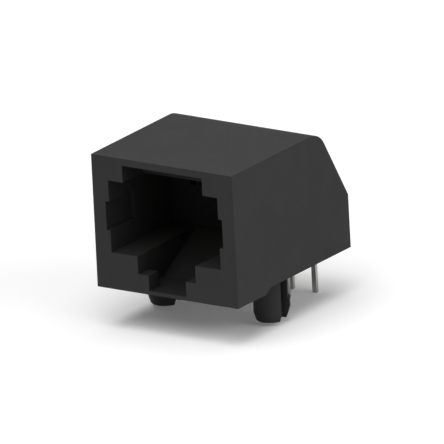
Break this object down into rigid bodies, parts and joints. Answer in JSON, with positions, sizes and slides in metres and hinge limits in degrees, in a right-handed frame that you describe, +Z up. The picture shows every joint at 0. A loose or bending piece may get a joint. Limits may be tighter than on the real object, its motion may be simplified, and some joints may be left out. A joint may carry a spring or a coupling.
{
  "type": "board-mounted modular jack",
  "caption": "Unshielded right-angle modular socket for a circuit board, with its latch slot at the board side, split snap-in posts and two staggered rows of solder tails",
  "frame": {"origin": "on the board's surface, midway between the two board posts", "axes": "+X across the port, +Y the way the plug goes in, +Z up from the board"},
  "size_m": [0.0152, 0.0181, 0.0163],
  "materials": {
    "housing_plastic": "fine moulded texture",
    "carrier_plastic": "fine moulded texture",
    "contact_metal": "plated spring strip, gold on the mating faces and tin on the tails"
  },
  "bodies": {
    "root": {"housing": "housing_plastic", "contact_carrier": "carrier_plastic", "contact_1": "contact_metal", "contact_2": "contact_metal", "contact_3": "contact_metal", "contact_4": "contact_metal", "contact_5": "contact_metal", "contact_6": "contact_metal", "contact_7": "contact_metal", "contact_8": "contact_metal"}
  },
  "joints": []
}
